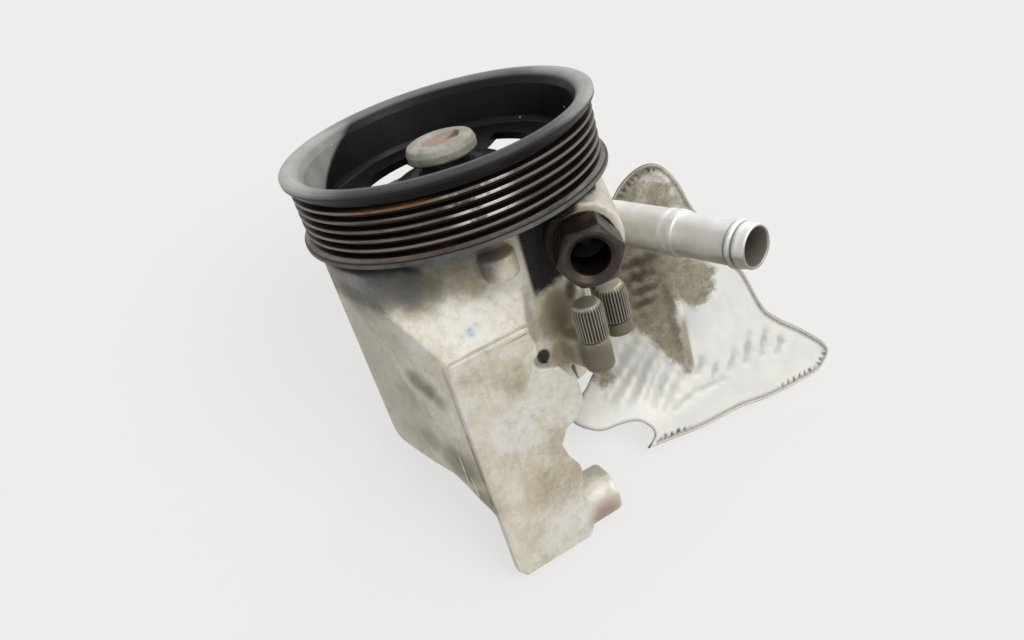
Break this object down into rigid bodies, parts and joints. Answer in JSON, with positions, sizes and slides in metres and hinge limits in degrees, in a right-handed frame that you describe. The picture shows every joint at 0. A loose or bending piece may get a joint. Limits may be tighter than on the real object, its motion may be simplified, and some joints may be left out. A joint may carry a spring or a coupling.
{
  "type": "power steering pump",
  "caption": "Belt-driven vane pump for power steering with a ribbed pulley, a cast bracket body, a hexagon outlet union, a bent suction pipe and an embossed heat shield.",
  "frame": {"origin": "centre of the rear cover's flat end face, on the shaft axis", "axes": "+Z along the shaft towards the pulley; +X towards the valve barrel and the heat shield; +Y away from the outlet union and the bracket's front wall"},
  "size_m": [0.2077, 0.1228, 0.1783],
  "materials": {
    "cast_aluminium": "sand-cast skin, stained and dusty",
    "cover_aluminium": "as cast with a turned face",
    "black_painted_steel": "semi-gloss black enamel, worn to brown steel on the ribs",
    "rusty_steel": "turned steel with a film of rust",
    "oxidised_steel": "dark brown oxidised steel",
    "ground_steel": "ground",
    "hardened_steel": "hardened and ground",
    "plated_steel": "dull zinc plate",
    "bright_aluminium": "satin drawn tube",
    "sheet_aluminium": "embossed sheet, sooted",
    "copper": "annealed copper",
    "nitrile_rubber": "moulded",
    "pressed_brass": "pressed"
  },
  "bodies": {
    "pump": {"bearing_outer_ring": "hardened_steel", "bracket_bush_lower": "ground_steel", "bracket_bush_upper": "ground_steel", "cam_ring": "hardened_steel", "cover_o_ring": "nitrile_rubber", "cover_retaining_ring": "plated_steel", "front_pressure_plate": "ground_steel", "heat_shield": "sheet_aluminium", "knurled_screw_1": "plated_steel", "knurled_screw_2": "plated_steel", "outlet_union": "oxidised_steel", "pipe_o_ring": "nitrile_rubber", "pump_housing": "cast_aluminium", "rear_cover": "cover_aluminium", "rear_pressure_plate": "ground_steel", "retaining_ring": "plated_steel", "shaft_seal": "nitrile_rubber", "shield_bolt_1": "plated_steel", "shield_bolt_2": "plated_steel", "shield_washer_1": "plated_steel", "shield_washer_2": "plated_steel", "suction_pipe": "bright_aluminium", "union_washer": "copper", "valve_spring": "ground_steel"},
    "rotating": {"pulley": "black_painted_steel", "pulley_bolt": "rusty_steel", "hub_collar": "oxidised_steel", "drive_shaft": "ground_steel", "rotor": "hardened_steel", "rotor_circlip": "plated_steel", "bearing_inner_ring": "hardened_steel"},
    "cage": {"bearing_cage": "pressed_brass", "bearing_ball_1": "ground_steel", "bearing_ball_2": "ground_steel", "bearing_ball_3": "ground_steel", "bearing_ball_4": "ground_steel", "bearing_ball_5": "ground_steel", "bearing_ball_6": "ground_steel", "bearing_ball_7": "ground_steel", "bearing_ball_8": "ground_steel"},
    "spool": {"valve_spool": "hardened_steel"},
    "vane_01": {"vane_01": "ground_steel"},
    "vane_02": {"vane_02": "ground_steel"},
    "vane_03": {"vane_03": "ground_steel"},
    "vane_04": {"vane_04": "ground_steel"},
    "vane_05": {"vane_05": "ground_steel"},
    "vane_06": {"vane_06": "ground_steel"},
    "vane_07": {"vane_07": "ground_steel"},
    "vane_08": {"vane_08": "ground_steel"},
    "vane_09": {"vane_09": "ground_steel"},
    "vane_10": {"vane_10": "ground_steel"}
  },
  "joints": [
    {"name": "shaft_spin", "type": "hinge", "parent": "pump", "child": "rotating", "pos_m": [0, 0, 0.09], "axis": [0, 0, 1], "continuous": true},
    {"name": "cage_spin", "type": "hinge", "parent": "pump", "child": "cage", "pos_m": [0, 0, 0.0674], "axis": [0, 0, 1], "continuous": true},
    {"name": "vane_01_slide", "type": "slide", "parent": "rotating", "child": "vane_01", "axis": [0.9969, 0.0785, 0], "range_m": [0, 0.00074]},
    {"name": "vane_02_slide", "type": "slide", "parent": "rotating", "child": "vane_02", "axis": [0.7604, 0.6494, 0], "range_m": [0, 0.00181]},
    {"name": "vane_03_slide", "type": "slide", "parent": "rotating", "child": "vane_03", "axis": [0.2334, 0.9724, 0], "range_m": [0, 0.00317]},
    {"name": "vane_04_slide", "type": "slide", "parent": "rotating", "child": "vane_04", "axis": [-0.3827, 0.9239, 0], "range_m": [0, 0.00293]},
    {"name": "vane_05_slide", "type": "slide", "parent": "rotating", "child": "vane_05", "axis": [-0.8526, 0.5225, 0], "range_m": [0, 0.00143]},
    {"name": "vane_06_slide", "type": "slide", "parent": "rotating", "child": "vane_06", "axis": [-0.9969, -0.0785, 0], "range_m": [0, 0.00074]},
    {"name": "vane_07_slide", "type": "slide", "parent": "rotating", "child": "vane_07", "axis": [-0.7604, -0.6494, 0], "range_m": [0, 0.00181]},
    {"name": "vane_08_slide", "type": "slide", "parent": "rotating", "child": "vane_08", "axis": [-0.2334, -0.9724, 0], "range_m": [0, 0.00317]},
    {"name": "vane_09_slide", "type": "slide", "parent": "rotating", "child": "vane_09", "axis": [0.3827, -0.9239, 0], "range_m": [0, 0.00293]},
    {"name": "vane_10_slide", "type": "slide", "parent": "rotating", "child": "vane_10", "axis": [0.8526, -0.5225, 0], "range_m": [0, 0.00143]},
    {"name": "spool_slide", "type": "slide", "parent": "pump", "child": "spool", "axis": [0.0872, 0.9962, 0], "range_m": [0, 0.008], "stiffness_N_per_m": 600, "springref_m": -0.01, "deforming": ["valve_spring"]}
  ],
  "couplings": [
    {"joint": "cage_spin", "follows": "shaft_spin", "ratio": 0.4}
  ]
}
